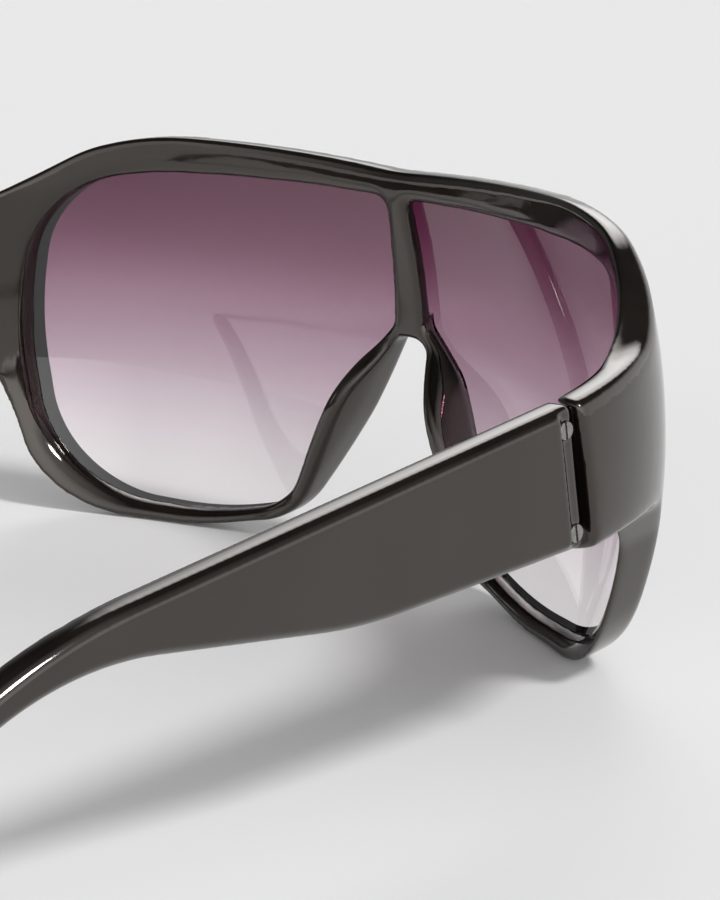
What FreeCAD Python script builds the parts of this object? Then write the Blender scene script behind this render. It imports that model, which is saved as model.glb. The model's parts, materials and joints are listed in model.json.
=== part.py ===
"""Shield sunglasses with two folding temples, standing open on a table.

The pieces are drawn in the wearing frame: x to the side, v back along the temples, w up along the
hinge axes, with v = 0 and w = 0 at the middle of the hinge axes. The finished pieces are then laid on
the table, where the temples slope down to their tips: +Z is up, the front faces -Y and the wearer's
left is at +X. All lengths are millimetres and all angles are degrees.
"""
import FreeCAD, Part
import math
import os

from FreeCAD import Vector

# Attitude on the table
rest_slope = 9.3               # temples against the table

# Front frame
half_width = 72.0              # middle to the outer surface of the front where it ends
front_radius = 113.0           # outer surface of the front across the middle
drop_radius = 78.4             # outer surface of the front from top to bottom
side_radius = 43.6             # outer surface where the front turns into the side
front_reach = 45.8             # front of the frame to the hinge axes, along the table
equator_fall = 3.3             # foremost level of the front below the hinge axes
frame_thickness = 4.0
outer_edge_radius = 0.8        # rounding of the frame's outline at its outer surface

# Outlines of the front, seen along the temples
brow_level = 16.0              # highest stretch of the brow above the hinge axes
rim_depth = 36.8               # lowest stretch of the rims below the hinge axes
rim_inset = 10.2               # outer side of a rim inside the front's half width
side_rim = 3.1                 # outer side of an opening inside its rim
opening_level = 11.2           # top of an opening above the hinge axes
opening_depth = 34.3           # bottom of an opening below the hinge axes
bar_width = 4.2                # centre bar between the openings
arch_depth = 8.8               # top of the nose arch below the hinge axes
nose_half_width = 20.5         # middle to the inner foot of a rim
end_piece_height = 16.4
end_piece_fall = 2.6           # fall of an end piece's lower edge from the hinge to its rim
end_piece_root_radius = 5.0    # where an end piece leaves its rim

# Nose wings
wing_rise = 4.4                # crest behind the rear face of the frame
wing_root = 0.9                # foot of a wing sunk into the rear face
wing_straight = 0.8            # inner side of a wing that runs on from the gap before it flares
wing_crest_width = 2.6
wing_flank = 3.0               # foot of the outer flank further out than the crest

# Lens
lens_thickness = 1.8
lens_recess = 0.2              # lens behind the outer surface of the frame
lens_seat = 0.5                # ledge round the openings that the lens rests on
lens_clearance = 0.05

# Temples
temple_thickness = 3.8
temple_height = 16.4           # at the hinge
temple_lift = 0.4              # middle of a temple's end above the middle of the hinge axis
taper_start = 33.0             # hinge axis to where the lower edge turns up
taper_rise = 2.9               # rise of the lower edge up to there
taper_radius = 60.0
bend_start = 60.3              # hinge axis to the start of the ear bend
bend_radius = 58.0             # upper edge of the ear bend
neck_height = 5.7              # temple height at the start of the ear bend
neck_radius = 35.0             # lower edge of the ear bend
hook_angle = 30.0
ear_height = 3.8
temple_bevel = 0.9             # along the edges of the outer face
temple_edge_radius = 0.6       # along the edges of the inner face
temple_corner_radius = 0.8

# Joint between temple and end piece
joint_gap = 1.2                # end piece to temple at the outer face
stop_gap = 0.3                 # end piece to the temple's stop when open
stop_thickness = 1.3
strip_width = 2.2              # rebate at the temple's end that holds the screw heads
strip_depth = 0.6

# Hinges
barrel_radius = 1.2
barrel_standoff = 0.3          # barrel to the plane of the inner faces
knuckle_count = 5
barrel_bottom = 4.5            # below the middle of the axis
barrel_top = 4.0               # above the middle of the axis
knuckle_gap = 0.1
knuckle_clearance = 0.3        # a leaf's plate to the other leaf's knuckles
leaf_thickness = 0.9
leaf_height = 14.0
front_leaf_length = 8.6        # from the hinge axis
temple_leaf_length = 5.8
ear_relief = 0.4               # free height between the barrel's ends and the temple leaf's ears
ear_start = 0.7                # the ears begin this far behind the hinge axis
seat_room = 0.3                # hinge seat past the end of the front leaf
seat_wall = 2.0                # end piece left outside the front end of the hinge seat

# Screws
hinge_screw_radius = 0.7
hinge_head_radius = 1.1
hinge_head_height = 0.5
hinge_running_clearance = 0.04
leaf_screw_radius = 0.6
leaf_screw_head_radius = 1.0
leaf_screw_head_height = 0.5
leaf_screw_clearance = 0.02
leaf_screw_level = 5.9         # above and below the middle of the hinge
front_screw_place = 5.4        # in front of the hinge axis
front_screw_length = 2.4
slot_width = 0.3
slot_depth = 0.25

overrun = 10.0                 # how far cutting tools reach past what they cut
match_tolerance = 0.05         # two places closer than this are the same
refining_rounds = 8            # steps that find a place on the tilted rear face

# Corners of the outlines as shares chosen by hand: across, up, and the corner's radius.
# The opening: across from the bar, up from its bottom, radius by its height.
opening_shares = (
    (0.000, 0.986, 0.030), (0.691, 1.007, 1.500), (0.968, 0.976, 0.294), (1.030, 0.553, 0.900),
    (0.938, 0.020, 0.425), (0.521, -0.036, 1.000),
)
# The frame: across from the middle, up from the lowest rim, radius by the front's height.
brow_shares = ((0.000, 0.965, 1.000), (0.673, 1.018, 1.000), (0.816, 0.984, 0.298))
upper_root_share = 1.050
lower_root_share = 1.045
rim_shares = ((0.992, 0.391, 0.200), (0.868, 0.012, 0.343), (0.515, -0.012, 0.800))
# The nose gap, and the opening beside it: across from the middle, up from the lowest rim, radius by
# the gap's height.
nose_shares = ((0.862, 0.056, 0.314), (0.424, 0.584, 1.000), (0.127, 1.000, 0.100))
opening_nose_shares = ((0.937, 0.114, 0.310), (0.449, 0.843, 0.300), (0.146, 1.057, 0.070))
# A nose wing from its top down: level up from the lowest rim by the gap's height, rise, and width of
# its flank.
wing_shares = (
    (1.000, -0.10, 0.9), (0.870, 0.45, 1.0), (0.740, 0.95, 1.0), (0.600, 1.00, 1.0), (0.420, 0.72, 1.0),
    (0.250, 0.32, 0.9), (0.080, -0.10, 0.8),
)
wing_flare_share = 0.3         # sideways lean of a wing's inner side, of its further rise
tip_rounding_share = 0.42      # corner radius at a temple's tip, of the ear's height
arc_run_share = 0.98           # most of a straight run that the arcs at its two ends take up

turn = math.asin((half_width - side_radius) / (front_radius - side_radius))
turn_angle = math.degrees(turn)
side_centre = front_radius - front_reach - (front_radius - side_radius) * math.cos(turn)
seat_length = front_leaf_length + seat_room
seat_turn = max(0, seat_length + side_centre)
seat_place = half_width - side_radius + math.sqrt(side_radius ** 2 - seat_turn ** 2)
inner_face = seat_place - seat_wall
outer_face = inner_face + temple_thickness
axis_x = inner_face - barrel_radius - barrel_standoff
end_face = joint_gap / 2
temple_top = temple_lift + temple_height / 2
temple_bottom = temple_lift - temple_height / 2
rim_half_width = half_width - rim_inset
opening_half_width = rim_half_width - side_rim
front_height = brow_level + rim_depth
nose_height = rim_depth - arch_depth
x_axis = Vector(1, 0, 0)
w_axis = Vector(0, 0, 1)
slope = math.radians(rest_slope)


def rounded_wire(corners, place):
    """Closed wire of straight runs and tangent arcs.

    Each corner is (a, b, radius), and place turns (a, b) into a point. Where two neighbouring arcs
    would meet, both radii shrink until they fit.
    """
    count = len(corners)
    points = [Vector(a, b, 0) for a, b, _ in corners]
    sides = [points[(index + 1) % count] - point for index, point in enumerate(points)]
    halves = [(-sides[index - 1]).getAngle(side) / 2 for index, side in enumerate(sides)]
    runs = [corner[2] / math.tan(half) for corner, half in zip(corners, halves)]
    rooms = [arc_run_share * side.Length for side in sides]
    fits = [room / max(room, runs[index] + runs[(index + 1) % count]) for index, room in enumerate(rooms)]
    joints = []
    for index, corner in enumerate(points):
        run = runs[index] * min(fits[index - 1], fits[index])
        if run == 0:
            joints.append((corner, None, corner))
            continue
        before = Vector(-sides[index - 1]).normalize()
        after = Vector(sides[index]).normalize()
        bulge = run * (1 - math.sin(halves[index])) / math.cos(halves[index])
        middle = corner + (before + after).normalize() * bulge
        joints.append((corner + before * run, middle, corner + after * run))
    edges = []
    for index, (start, middle, end) in enumerate(joints):
        if middle is not None:
            arc = Part.Arc(*(place(point.x, point.y) for point in (start, middle, end)))
            edges.append(arc.toShape())
        following = joints[(index + 1) % count][0]
        edges.append(Part.makeLine(place(end.x, end.y), place(following.x, following.y)))
    return Part.Wire(edges)


def front_face(corners):
    """Face square to the temples, from corners (x, w, radius)."""
    return Part.Face(rounded_wire(corners, lambda x, w: Vector(x, -front_reach - overrun, w)))


def pull(face):
    """Extrude a front face back along the temples, past the end pieces."""
    return face.extrude(Vector(0, front_reach + 2 * overrun, 0))


def block(x_range, v_range, w_range):
    """Box between pairs of limits."""
    low, high = zip(x_range, v_range, w_range)
    size = Vector(*high) - Vector(*low)
    return Part.makeBox(size.x, size.y, size.z, Vector(*low))


def rod(radius, start, end):
    """Cylinder from one point to another."""
    return Part.makeCylinder(radius, (end - start).Length, start, end - start)


def mirrored(shape):
    """The same piece for the other side."""
    return shape.mirror(Vector(0, 0, 0), x_axis)


def band_profile(axis_point, path_radius, angle, outer_depth, inner_depth):
    """Upright section of the curved front between two depths under its outer surface."""
    outward = Vector(math.sin(math.radians(angle)), -math.cos(math.radians(angle)), 0)
    brow_reach = brow_level + front_reach * math.sin(slope) + equator_fall
    low = -math.asin((rim_depth + overrun) / drop_radius)
    high = math.asin((brow_reach + overrun) / drop_radius)

    def point(depth, lift):
        radius = drop_radius - depth
        across = path_radius - drop_radius + radius * math.cos(lift)
        return axis_point + outward * across + w_axis * (radius * math.sin(lift))

    outer = Part.Arc(*(point(outer_depth, lift) for lift in (low, (low + high) / 2, high))).toShape()
    inner = Part.Arc(*(point(inner_depth, lift) for lift in (low, (low + high) / 2, high))).toShape()
    top = Part.makeLine(point(outer_depth, high), point(inner_depth, high))
    bottom = Part.makeLine(point(outer_depth, low), point(inner_depth, low))
    return Part.Face(Part.Wire([outer, top, inner, bottom]))


def front_band(outer_depth, inner_depth):
    """Curved wall of the front from hinge to hinge, between two depths under its outer surface."""
    front_axis = Vector(0, front_radius - front_reach, -equator_fall)
    side_axis = Vector(half_width - side_radius, side_centre, -equator_fall)
    middle = band_profile(front_axis, front_radius, -turn_angle, outer_depth, inner_depth)
    middle = middle.revolve(front_axis, w_axis, 2 * turn_angle)
    side = band_profile(side_axis, side_radius, turn_angle, outer_depth, inner_depth)
    side = side.revolve(side_axis, w_axis, 90 - turn_angle)
    straight = band_profile(side_axis, side_radius, 90, outer_depth, inner_depth)
    straight = straight.extrude(Vector(0, front_reach, 0))
    band = middle.multiFuse([side, straight, mirrored(side), mirrored(straight)])
    band.rotate(Vector(0, 0, 0), x_axis, rest_slope)
    return band


def opening_corners():
    """Outline of the opening at +x, clockwise from the top of the bar."""
    half_bar = bar_width / 2
    across = opening_half_width - half_bar
    height = opening_level + opening_depth
    corners = [(half_bar + a * across, b * height - opening_depth, r * height) for a, b, r in opening_shares]
    return corners + nose_corners(opening_nose_shares)


def nose_corners(shares):
    """Corners beside the nose gap at +x."""
    return [(a * nose_half_width, b * nose_height - rim_depth, r * nose_height) for a, b, r in shares]


def opening_face(growth):
    """Face of the opening at +x, grown all round."""
    face = front_face(opening_corners())
    return face if growth == 0 else face.makeOffset2D(growth)


def bridge_face(growth):
    """Face between the two openings, where the lens passes in front of the bar."""
    corners = opening_corners()
    half = max(corners[0][0], corners[-1][0]) + corners[-1][2] + growth
    top = corners[0][1] + growth
    bottom = corners[-1][1] + corners[-1][2] - growth
    return front_face([(-half, top, 0), (half, top, 0), (half, bottom, 0), (-half, bottom, 0)])


def shield_prism(growth):
    """Both openings and the bridge between them, grown all round and drawn back along the temples."""
    opening = pull(opening_face(growth))
    return opening.multiFuse([mirrored(opening), pull(bridge_face(growth))]).removeSplitter()


def frame_outline():
    """Corners of the frame, clockwise from the middle of the brow."""
    half_end = end_piece_height / 2
    far = half_width + overrun
    lower_root = lower_root_share * rim_half_width
    lower_far = end_piece_fall * overrun / (half_width - lower_root) - half_end
    right = [(a * rim_half_width, b * front_height - rim_depth, r * front_height) for a, b, r in brow_shares]
    right += [
        (upper_root_share * rim_half_width, half_end, end_piece_root_radius),
        (far, half_end, 0),
        (far, lower_far, 0),
        (lower_root, -half_end - end_piece_fall, end_piece_root_radius),
    ]
    right += [(a * rim_half_width, b * front_height - rim_depth, r * front_height) for a, b, r in rim_shares]
    right += nose_corners(nose_shares)
    left = [(-x, w, radius) for x, w, radius in reversed(right[1:])]
    return right + left


def rear_depth(x, w):
    """Place v of the frame's rear face in the middle of the front, at (x, w)."""
    v = -front_reach
    for _ in range(refining_rounds):
        up = w * math.cos(slope) - v * math.sin(slope) + equator_fall
        inset = drop_radius - math.sqrt((drop_radius - frame_thickness) ** 2 - up ** 2)
        y = front_radius - front_reach - math.sqrt((front_radius - inset) ** 2 - x ** 2)
        v = (y - w * math.sin(slope)) / math.cos(slope)
    return v


def gap_edge(w):
    """Distance x from the middle to the straight runs of the nose gap at level w."""
    corners = nose_corners(nose_shares)
    for (low_x, low_w, _), (high_x, high_w, _) in zip(corners, corners[1:]):
        if w <= high_w:
            break
    return low_x + (high_x - low_x) * (w - low_w) / (high_w - low_w)


def nose_wing(outline, side):
    """Wing that stands back from the nose gap at +x (side 1) or -x (side -1), inside the outline."""
    sections = []
    for up, rise, spread in wing_shares:
        w = up * nose_height - rim_depth
        edge = gap_edge(w)
        rear = rear_depth(edge, w)
        root = rear - wing_root
        crest = rear + rise * wing_rise
        foot_start = edge + wing_flare_share * (root - rear - wing_straight)
        crest_start = edge + wing_flare_share * (crest - rear - wing_straight)
        crest_end = crest_start + wing_crest_width
        points = [
            Vector(side * foot_start, root, w),
            Vector(side * crest_start, crest, w),
            Vector(side * crest_end, crest, w),
            Vector(side * (crest_end + spread * wing_flank), root, w),
        ]
        sections.append(Part.makePolygon(points + points[:1]))
    return Part.makeLoft(sections, True, False).common(outline)


def outline_edges(frame, skin):
    """Edges where the walls of the frame's outline meet one of its curved skins."""
    chosen = []
    skin_kinds = (Part.Sphere, Part.SurfaceOfRevolution, Part.Toroid)
    for edge in frame.Edges:
        sides = frame.ancestorsOfType(edge, Part.Face)
        curved = [face for face in sides if isinstance(face.Surface, skin_kinds)]
        on_skin = all(skin.distToShape(vertex)[0] < match_tolerance for vertex in edge.Vertexes)
        if on_skin and len(curved) < len(sides):
            chosen.append(edge)
    return chosen


def front_frame():
    """Moulded front: rims, brow, centre bar, nose saddle and both end pieces."""
    outline = pull(front_face(frame_outline()))
    frame = front_band(0, frame_thickness).common(outline)
    frame = frame.makeFillet(outer_edge_radius, outline_edges(frame, front_band(-overrun, 0)))
    frame = frame.multiFuse([nose_wing(outline, side) for side in (1, -1)])
    behind_end = block((-half_width - overrun, half_width + overrun), (-end_face, front_reach),
                       (-front_height, front_height))
    frame = frame.cut(behind_end)
    opening = pull(opening_face(0))
    frame = frame.cut([opening, mirrored(opening)])
    rebate = front_band(-overrun, lens_recess + lens_thickness + lens_clearance)
    frame = frame.cut(rebate.common(shield_prism(lens_seat + lens_clearance)))
    seat = hinge_seat()
    return frame.cut([seat, mirrored(seat)])


def hinge_seat():
    """Flat cut on the inner side of the end piece at +x, with the holes of the leaf's two screws."""
    reach = leaf_height / 2 + seat_room
    cut = block((inner_face - frame_thickness, inner_face), (-seat_length, 0), (-reach, reach))
    holes = [rod(leaf_screw_radius + leaf_screw_clearance, *ends) for ends in front_screw_ends()]
    return cut.multiFuse(holes)


def shield_lens():
    """One curved shield that fills both openings and passes in front of the bar."""
    band = front_band(lens_recess, lens_recess + lens_thickness)
    return band.common(shield_prism(lens_seat))


def laid(shape):
    """Turn a piece from the wearing frame to its attitude on the table."""
    turned = shape.copy()
    turned.rotate(Vector(0, 0, 0), x_axis, -rest_slope)
    return turned


def temple_outline(axis_height):
    """Corners (v, w, radius) of a temple in side view, with its tip down on the table."""
    hook = math.radians(hook_angle)
    along = Vector(math.cos(hook), -math.sin(hook), 0)
    upward = Vector(math.sin(hook), math.cos(hook), 0)
    upper_bend = Vector(bend_start + bend_radius * math.tan(hook / 2), temple_top, 0)
    taper_from = Vector(taper_start, temple_bottom + taper_rise, 0)
    taper_way = Vector(bend_start, temple_top - neck_height, 0) - taper_from
    under_hook = upper_bend - upward * ear_height
    reach = (under_hook - taper_from).dot(upward) / taper_way.dot(upward)
    lower_bend = taper_from + taper_way * reach
    tip_radius = tip_rounding_share * ear_height
    tip_middle = under_hook + upward * tip_radius
    down = along.x * math.sin(slope) - along.y * math.cos(slope)
    start_height = axis_height - tip_middle.x * math.sin(slope) + tip_middle.y * math.cos(slope)
    hook_length = (start_height - tip_radius) / down + tip_radius
    lower_tip = under_hook + along * hook_length
    upper_tip = upper_bend + along * hook_length
    corners = [
        (end_face, temple_bottom, temple_corner_radius),
        (end_face, temple_top, temple_corner_radius),
        (upper_bend.x, upper_bend.y, bend_radius),
        (upper_tip.x, upper_tip.y, tip_radius),
        (lower_tip.x, lower_tip.y, tip_radius),
        (lower_bend.x, lower_bend.y, neck_radius),
        (taper_from.x, taper_from.y, taper_radius),
    ]
    return corners


def edges_on(shape, x, skip_end):
    """Edges of a temple that lie in the plane at x, with or without the one at its front end."""
    def chosen(edge):
        box = edge.BoundBox
        flat = abs(box.XMin - x) < match_tolerance and abs(box.XMax - x) < match_tolerance
        return flat and not (skip_end and box.YMax < end_face + match_tolerance)

    return [edge for edge in shape.Edges if chosen(edge)]


def temple(axis_height):
    """Temple at +x with its bevelled outer face, screw strip, stop and screw holes."""
    outline = rounded_wire(temple_outline(axis_height), lambda v, w: Vector(inner_face, v, w))
    body = Part.Face(outline).extrude(x_axis * temple_thickness)
    body = body.makeChamfer(temple_bevel, edges_on(body, outer_face, True))
    body = body.makeFillet(temple_edge_radius, edges_on(body, inner_face, True))
    strip = block((outer_face - strip_depth, outer_face + overrun), (0, end_face + strip_width),
                  (-temple_height, temple_height))
    stop = block((inner_face, inner_face + stop_thickness),
                 (stop_gap - end_face, end_face + strip_width / 2),
                 (temple_bottom + temple_corner_radius, temple_top - temple_corner_radius))
    holes = [rod(leaf_screw_radius + leaf_screw_clearance, *ends) for ends in temple_screw_ends()]
    heads = [rod(leaf_screw_head_radius + leaf_screw_clearance, end,
                 end - x_axis * leaf_screw_head_height) for _, end in temple_screw_ends()]
    return body.cut(strip).fuse(stop).cut(holes + heads)


def knuckle_levels():
    """Lower and upper level of each knuckle, from the bottom up."""
    pitch = (barrel_bottom + barrel_top + knuckle_gap) / knuckle_count
    starts = [index * pitch - barrel_bottom for index in range(knuckle_count)]
    return [(start, start + pitch - knuckle_gap) for start in starts]


def barrel(radius, low, high):
    """Cylinder on the hinge axis at +x."""
    return rod(radius, Vector(axis_x, 0, low), Vector(axis_x, 0, high))


def leaf(direction, length, own_knuckles, bore_radius, ear_from):
    """Hinge leaf at +x: a plate against the inner face, forwards (-1) or back (+1), and its knuckles."""
    plate_x = (inner_face - leaf_thickness, inner_face)
    clear = barrel_radius + knuckle_clearance

    def plate(near, low, high):
        return block(plate_x, sorted((direction * near, direction * length)), (low, high))

    half = leaf_height / 2
    pieces = [plate(clear, -half, half)]
    pieces.append(plate(ear_from, barrel_top + hinge_head_height + ear_relief, half))
    pieces.append(plate(ear_from, -half, -barrel_bottom - ear_relief))
    for low, high in own_knuckles:
        pieces.append(plate(0, low, high))
        pieces.append(barrel(barrel_radius, low, high))
    body = pieces[0].multiFuse(pieces[1:]).removeSplitter()
    return body.cut(barrel(bore_radius, -leaf_height, leaf_height))


def front_leaf():
    """Leaf on the end piece, with countersunk screw holes."""
    clear = barrel_radius + knuckle_clearance
    bore = hinge_screw_radius + leaf_screw_clearance
    body = leaf(-1, front_leaf_length, knuckle_levels()[0::2], bore, clear)
    return body.cut([screw_room(start, end) for start, end in front_screw_ends()])


def temple_leaf():
    """Leaf on the temple, held by the screws from the temple's outer side."""
    bore = hinge_screw_radius + hinge_running_clearance
    body = leaf(1, temple_leaf_length, knuckle_levels()[1::2], bore, ear_start)
    holes = [rod(leaf_screw_radius + leaf_screw_clearance, *ends) for ends in temple_screw_ends()]
    return body.cut(holes)


def screw_room(start, end):
    """Space for a leaf screw's shank and countersunk head, at start."""
    way = (end - start).normalize()
    shank_radius = leaf_screw_radius + leaf_screw_clearance
    head_radius = leaf_screw_head_radius + leaf_screw_clearance
    head = Part.makeCone(head_radius, shank_radius, leaf_screw_head_height, start, way)
    return head.fuse(rod(shank_radius, start, end))


def front_screw_ends():
    """Head end and point of each screw that holds the front leaf at +x."""
    start = inner_face - leaf_thickness
    end = start + front_screw_length
    return [(Vector(start, -front_screw_place, level), Vector(end, -front_screw_place, level))
            for level in (-leaf_screw_level, leaf_screw_level)]


def temple_screw_ends():
    """Point and head end of each screw that holds the temple leaf at +x."""
    place = end_face + strip_width / 2
    start = inner_face - leaf_thickness
    end = outer_face - strip_depth
    return [(Vector(start, place, level), Vector(end, place, level))
            for level in (-leaf_screw_level, leaf_screw_level)]


def slotted(shape, head_end, way, across):
    """Cut a driver slot into a screw's head."""
    side = way.cross(across)
    corner = head_end - across * overrun - side * (slot_width / 2)
    points = [corner, corner + across * (2 * overrun), corner + across * (2 * overrun) + side * slot_width,
              corner + side * slot_width]
    slot = Part.Face(Part.makePolygon(points + points[:1])).extrude(way * slot_depth)
    return shape.cut(slot)


def front_leaf_screws():
    """Two countersunk screws from the inside into the end piece at +x."""
    screws = []
    for start, end in front_screw_ends():
        head = Part.makeCone(leaf_screw_head_radius, leaf_screw_radius, leaf_screw_head_height, start,
                             x_axis)
        screws.append(slotted(head.fuse(rod(leaf_screw_radius, start, end)), start, x_axis, w_axis))
    return Part.makeCompound(screws)


def temple_leaf_screws():
    """Two screws from the strip on the temple's outer side at +x into the leaf."""
    screws = []
    for start, end in temple_screw_ends():
        head = rod(leaf_screw_head_radius, end - x_axis * leaf_screw_head_height, end)
        screws.append(slotted(head.fuse(rod(leaf_screw_radius, start, end)), end, -x_axis, w_axis))
    return Part.makeCompound(screws)


def hinge_screw():
    """Axis screw of the hinge at +x, with its head on the top knuckle."""
    head = barrel(hinge_head_radius, barrel_top, barrel_top + hinge_head_height)
    shank = barrel(hinge_screw_radius, -barrel_bottom, barrel_top)
    top = Vector(axis_x, 0, barrel_top + hinge_head_height)
    return slotted(head.fuse(shank), top, -w_axis, x_axis)


def build():
    """Every piece by its name, in the wearing frame."""
    frame = front_frame()
    axis_height = -laid(frame).optimalBoundingBox(False, False).ZMin
    sided = {
        "temple": temple(axis_height),
        "hinge_front_leaf": front_leaf(),
        "hinge_temple_leaf": temple_leaf(),
        "hinge_screw": hinge_screw(),
        "front_leaf_screws": front_leaf_screws(),
        "temple_leaf_screws": temple_leaf_screws(),
    }
    pieces = {"front_frame": frame, "shield_lens": shield_lens()}
    for name, shape in sided.items():
        pieces[name + "_left"] = shape
        pieces[name + "_right"] = mirrored(shape)
    return pieces


def main():
    """Lay the pieces on the table, centre them and write one file each."""
    pieces = {name: laid(shape) for name, shape in build().items()}
    box = Part.makeCompound(list(pieces.values())).optimalBoundingBox(False, False)
    shift = Vector(0, -(box.YMin + box.YMax) / 2, -box.ZMin)
    os.makedirs("parts", exist_ok=True)
    for name, shape in pieces.items():
        shape.translate(shift)
        shape.exportStep("parts/" + name + ".step")
        print(name, shape.isValid(), len(shape.Solids), round(shape.Volume, 2))
    print("size", box.XLength, box.YLength, box.ZLength)
    marks = {"hinge axis": Vector(axis_x, 0, 0), "temple end": Vector(outer_face, end_face, 0)}
    for name, place in marks.items():
        point = Part.Vertex(place)
        print(name, [round(value, 3) for value in laid(point).Point + shift])


if __name__ == "__main__":
    main()
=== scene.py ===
"""Looks of the shield sunglasses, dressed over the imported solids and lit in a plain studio.

Every length in a field or constant is in millimetres, and meshes are written in metres.
"""

import json
import logging
import math
from dataclasses import dataclass, field
from enum import Enum

import bmesh
import bpy
import numpy as np
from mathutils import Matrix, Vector


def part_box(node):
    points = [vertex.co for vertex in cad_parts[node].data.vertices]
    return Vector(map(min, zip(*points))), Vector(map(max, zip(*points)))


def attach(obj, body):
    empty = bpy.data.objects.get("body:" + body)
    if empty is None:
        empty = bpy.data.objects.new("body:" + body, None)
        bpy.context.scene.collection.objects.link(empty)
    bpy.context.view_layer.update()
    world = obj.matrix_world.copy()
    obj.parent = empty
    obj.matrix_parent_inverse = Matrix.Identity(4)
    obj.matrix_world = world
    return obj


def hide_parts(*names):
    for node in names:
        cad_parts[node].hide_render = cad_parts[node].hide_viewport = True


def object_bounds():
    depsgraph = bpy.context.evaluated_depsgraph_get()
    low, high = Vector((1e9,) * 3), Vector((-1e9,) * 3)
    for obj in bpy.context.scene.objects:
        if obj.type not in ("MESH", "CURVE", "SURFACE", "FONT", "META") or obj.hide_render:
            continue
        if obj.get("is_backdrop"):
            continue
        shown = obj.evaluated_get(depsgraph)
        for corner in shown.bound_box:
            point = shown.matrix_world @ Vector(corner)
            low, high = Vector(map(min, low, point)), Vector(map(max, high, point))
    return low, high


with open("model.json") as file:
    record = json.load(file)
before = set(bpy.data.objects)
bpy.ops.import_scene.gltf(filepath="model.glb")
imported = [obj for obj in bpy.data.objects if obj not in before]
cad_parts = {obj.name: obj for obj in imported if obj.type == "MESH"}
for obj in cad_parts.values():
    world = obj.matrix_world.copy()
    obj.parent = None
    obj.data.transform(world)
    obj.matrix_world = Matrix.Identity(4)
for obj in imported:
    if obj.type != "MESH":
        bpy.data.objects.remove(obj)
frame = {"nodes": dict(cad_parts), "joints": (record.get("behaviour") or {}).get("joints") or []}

LOG = logging.getLogger("shield_sunglasses")
MM = 0.001
WELD_REACH = 0.0001
EDGE_SEGMENTS = 2


class Slot(Enum):
    """Material slots of the record."""

    FRAME = "frame_plastic"
    LENS = "tinted_lens"
    HINGE = "hinge_steel"
    SCREW = "screw_steel"


class Side(Enum):
    """The wearer's two sides, with the sign of x on each."""

    LEFT = 1
    RIGHT = -1

    @property
    def word(self) -> str:
        """The side's word in the names of nodes and bodies."""
        return self.name.lower()


@dataclass(frozen=True)
class Grain:
    """One layer of noise on a surface.

    The scale is in grains to the metre, the detail in octaves of finer grain. The span is the part of the
    noise that counts, and the stretch is a factor on the coordinate along each axis.
    """

    scale: float
    detail: float
    span: tuple[float, float] = (0.0, 1.0)
    stretch: tuple[float, float, float] = (1.0, 1.0, 1.0)


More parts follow.
